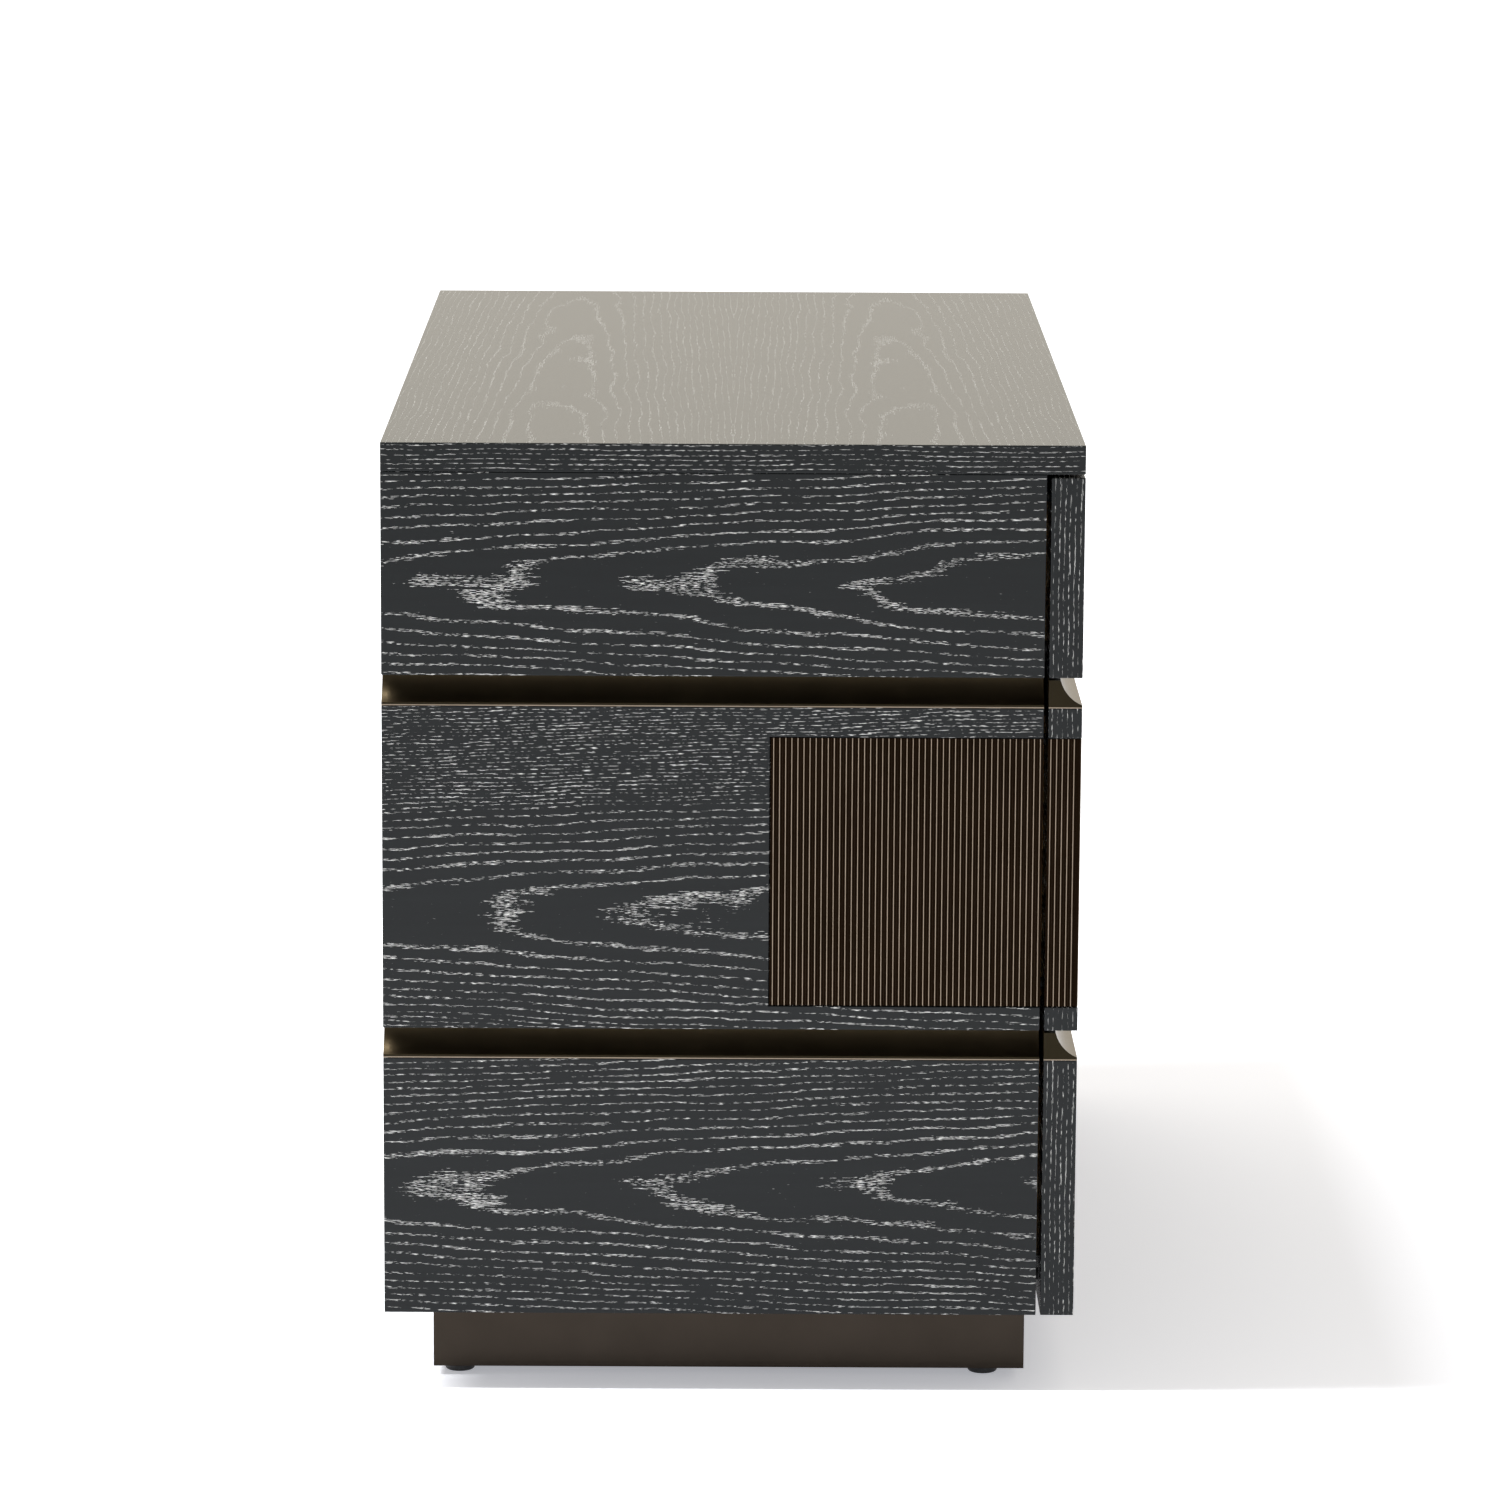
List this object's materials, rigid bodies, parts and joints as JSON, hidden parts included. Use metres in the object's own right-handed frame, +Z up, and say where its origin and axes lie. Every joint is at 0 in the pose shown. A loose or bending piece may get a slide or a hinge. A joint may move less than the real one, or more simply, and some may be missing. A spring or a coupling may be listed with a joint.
{
  "type": "nightstand",
  "caption": "Black oak nightstand with stacked drawers, cove pull bands, a ribbed metal inlay and a recessed plinth on levelling feet.",
  "frame": {"origin": "on the floor at the centre of the footprint", "axes": "drawers open towards -Y, X across the width, +Z up"},
  "size_m": [0.813, 0.457, 0.635],
  "materials": {
    "black_oak": "black stained oak with light limed grain",
    "drawer_oak": "clear lacquered solid oak",
    "bronze_trim": "dark bronze, satin",
    "plinth_bronze": "dark bronze, satin",
    "zinc_steel": "bright zinc plate",
    "bumper_rubber": "black rubber",
    "foot_plastic": "moulded, matte"
  },
  "bodies": {
    "case": {"top_panel": "black_oak", "carcass_side_left": "black_oak", "carcass_side_right": "black_oak", "carcass_bottom": "black_oak", "back_panel": "black_oak", "top_rails": "black_oak", "divider_rails": "black_oak", "side_panel_upper_left": "black_oak", "side_panel_upper_right": "black_oak", "side_panel_middle_left": "black_oak", "side_panel_middle_right": "black_oak", "side_panel_lower_left": "black_oak", "side_panel_lower_right": "black_oak", "side_cove_trims_left": "bronze_trim", "side_cove_trims_right": "bronze_trim", "side_ribbed_inlay_left": "bronze_trim", "side_ribbed_inlay_right": "bronze_trim", "plinth_long_rails": "plinth_bronze", "plinth_end_rails": "plinth_bronze", "plinth_gussets": "zinc_steel", "foot_weld_nuts": "zinc_steel", "slide_outer_rails": "zinc_steel", "back_panel_screws": "zinc_steel", "drawer_bumpers": "bumper_rubber"},
    "drawer_top": {"drawer_top_front": "black_oak", "drawer_top_box_front": "drawer_oak", "drawer_top_box_left": "drawer_oak", "drawer_top_box_right": "drawer_oak", "drawer_top_box_back": "drawer_oak", "drawer_top_box_bottom": "drawer_oak", "drawer_top_slide_rails": "zinc_steel", "drawer_top_screws": "zinc_steel"},
    "slide_middle_top": {"slide_middle_rails_top": "zinc_steel"},
    "drawer_middle": {"drawer_middle_front": "black_oak", "drawer_middle_box_front": "drawer_oak", "drawer_middle_box_left": "drawer_oak", "drawer_middle_box_right": "drawer_oak", "drawer_middle_box_back": "drawer_oak", "drawer_middle_box_bottom": "drawer_oak", "drawer_middle_slide_rails": "zinc_steel", "drawer_middle_screws": "zinc_steel", "drawer_middle_cove_trim": "bronze_trim", "drawer_middle_front_inlay": "bronze_trim", "drawer_middle_edge_inlays": "bronze_trim"},
    "slide_middle_middle": {"slide_middle_rails_middle": "zinc_steel"},
    "drawer_bottom": {"drawer_bottom_front": "black_oak", "drawer_bottom_box_front": "drawer_oak", "drawer_bottom_box_left": "drawer_oak", "drawer_bottom_box_right": "drawer_oak", "drawer_bottom_box_back": "drawer_oak", "drawer_bottom_box_bottom": "drawer_oak", "drawer_bottom_slide_rails": "zinc_steel", "drawer_bottom_screws": "zinc_steel", "drawer_bottom_cove_trim": "bronze_trim"},
    "slide_middle_bottom": {"slide_middle_rails_bottom": "zinc_steel"},
    "foot_front_left": {"foot_front_left": "foot_plastic"},
    "foot_front_right": {"foot_front_right": "foot_plastic"},
    "foot_back_left": {"foot_back_left": "foot_plastic"},
    "foot_back_right": {"foot_back_right": "foot_plastic"}
  },
  "joints": [
    {"name": "drawer_top_slide", "type": "slide", "parent": "case", "child": "drawer_top", "axis": [0, -1, 0], "range_m": [0, 0.35]},
    {"name": "slide_member_top", "type": "slide", "parent": "case", "child": "slide_middle_top", "axis": [0, -1, 0], "range_m": [0, 0.175]},
    {"name": "drawer_middle_slide", "type": "slide", "parent": "case", "child": "drawer_middle", "axis": [0, -1, 0], "range_m": [0, 0.35]},
    {"name": "slide_member_middle", "type": "slide", "parent": "case", "child": "slide_middle_middle", "axis": [0, -1, 0], "range_m": [0, 0.175]},
    {"name": "drawer_bottom_slide", "type": "slide", "parent": "case", "child": "drawer_bottom", "axis": [0, -1, 0], "range_m": [0, 0.35]},
    {"name": "slide_member_bottom", "type": "slide", "parent": "case", "child": "slide_middle_bottom", "axis": [0, -1, 0], "range_m": [0, 0.175]},
    {"name": "foot_front_left_level", "type": "slide", "parent": "case", "child": "foot_front_left", "axis": [0, 0, 1], "range_m": [-0.01, 0]},
    {"name": "foot_front_right_level", "type": "slide", "parent": "case", "child": "foot_front_right", "axis": [0, 0, 1], "range_m": [-0.01, 0]},
    {"name": "foot_back_left_level", "type": "slide", "parent": "case", "child": "foot_back_left", "axis": [0, 0, 1], "range_m": [-0.01, 0]},
    {"name": "foot_back_right_level", "type": "slide", "parent": "case", "child": "foot_back_right", "axis": [0, 0, 1], "range_m": [-0.01, 0]}
  ],
  "couplings": [
    {"joint": "slide_member_top", "follows": "drawer_top_slide", "ratio": 0.5},
    {"joint": "slide_member_middle", "follows": "drawer_middle_slide", "ratio": 0.5},
    {"joint": "slide_member_bottom", "follows": "drawer_bottom_slide", "ratio": 0.5}
  ]
}
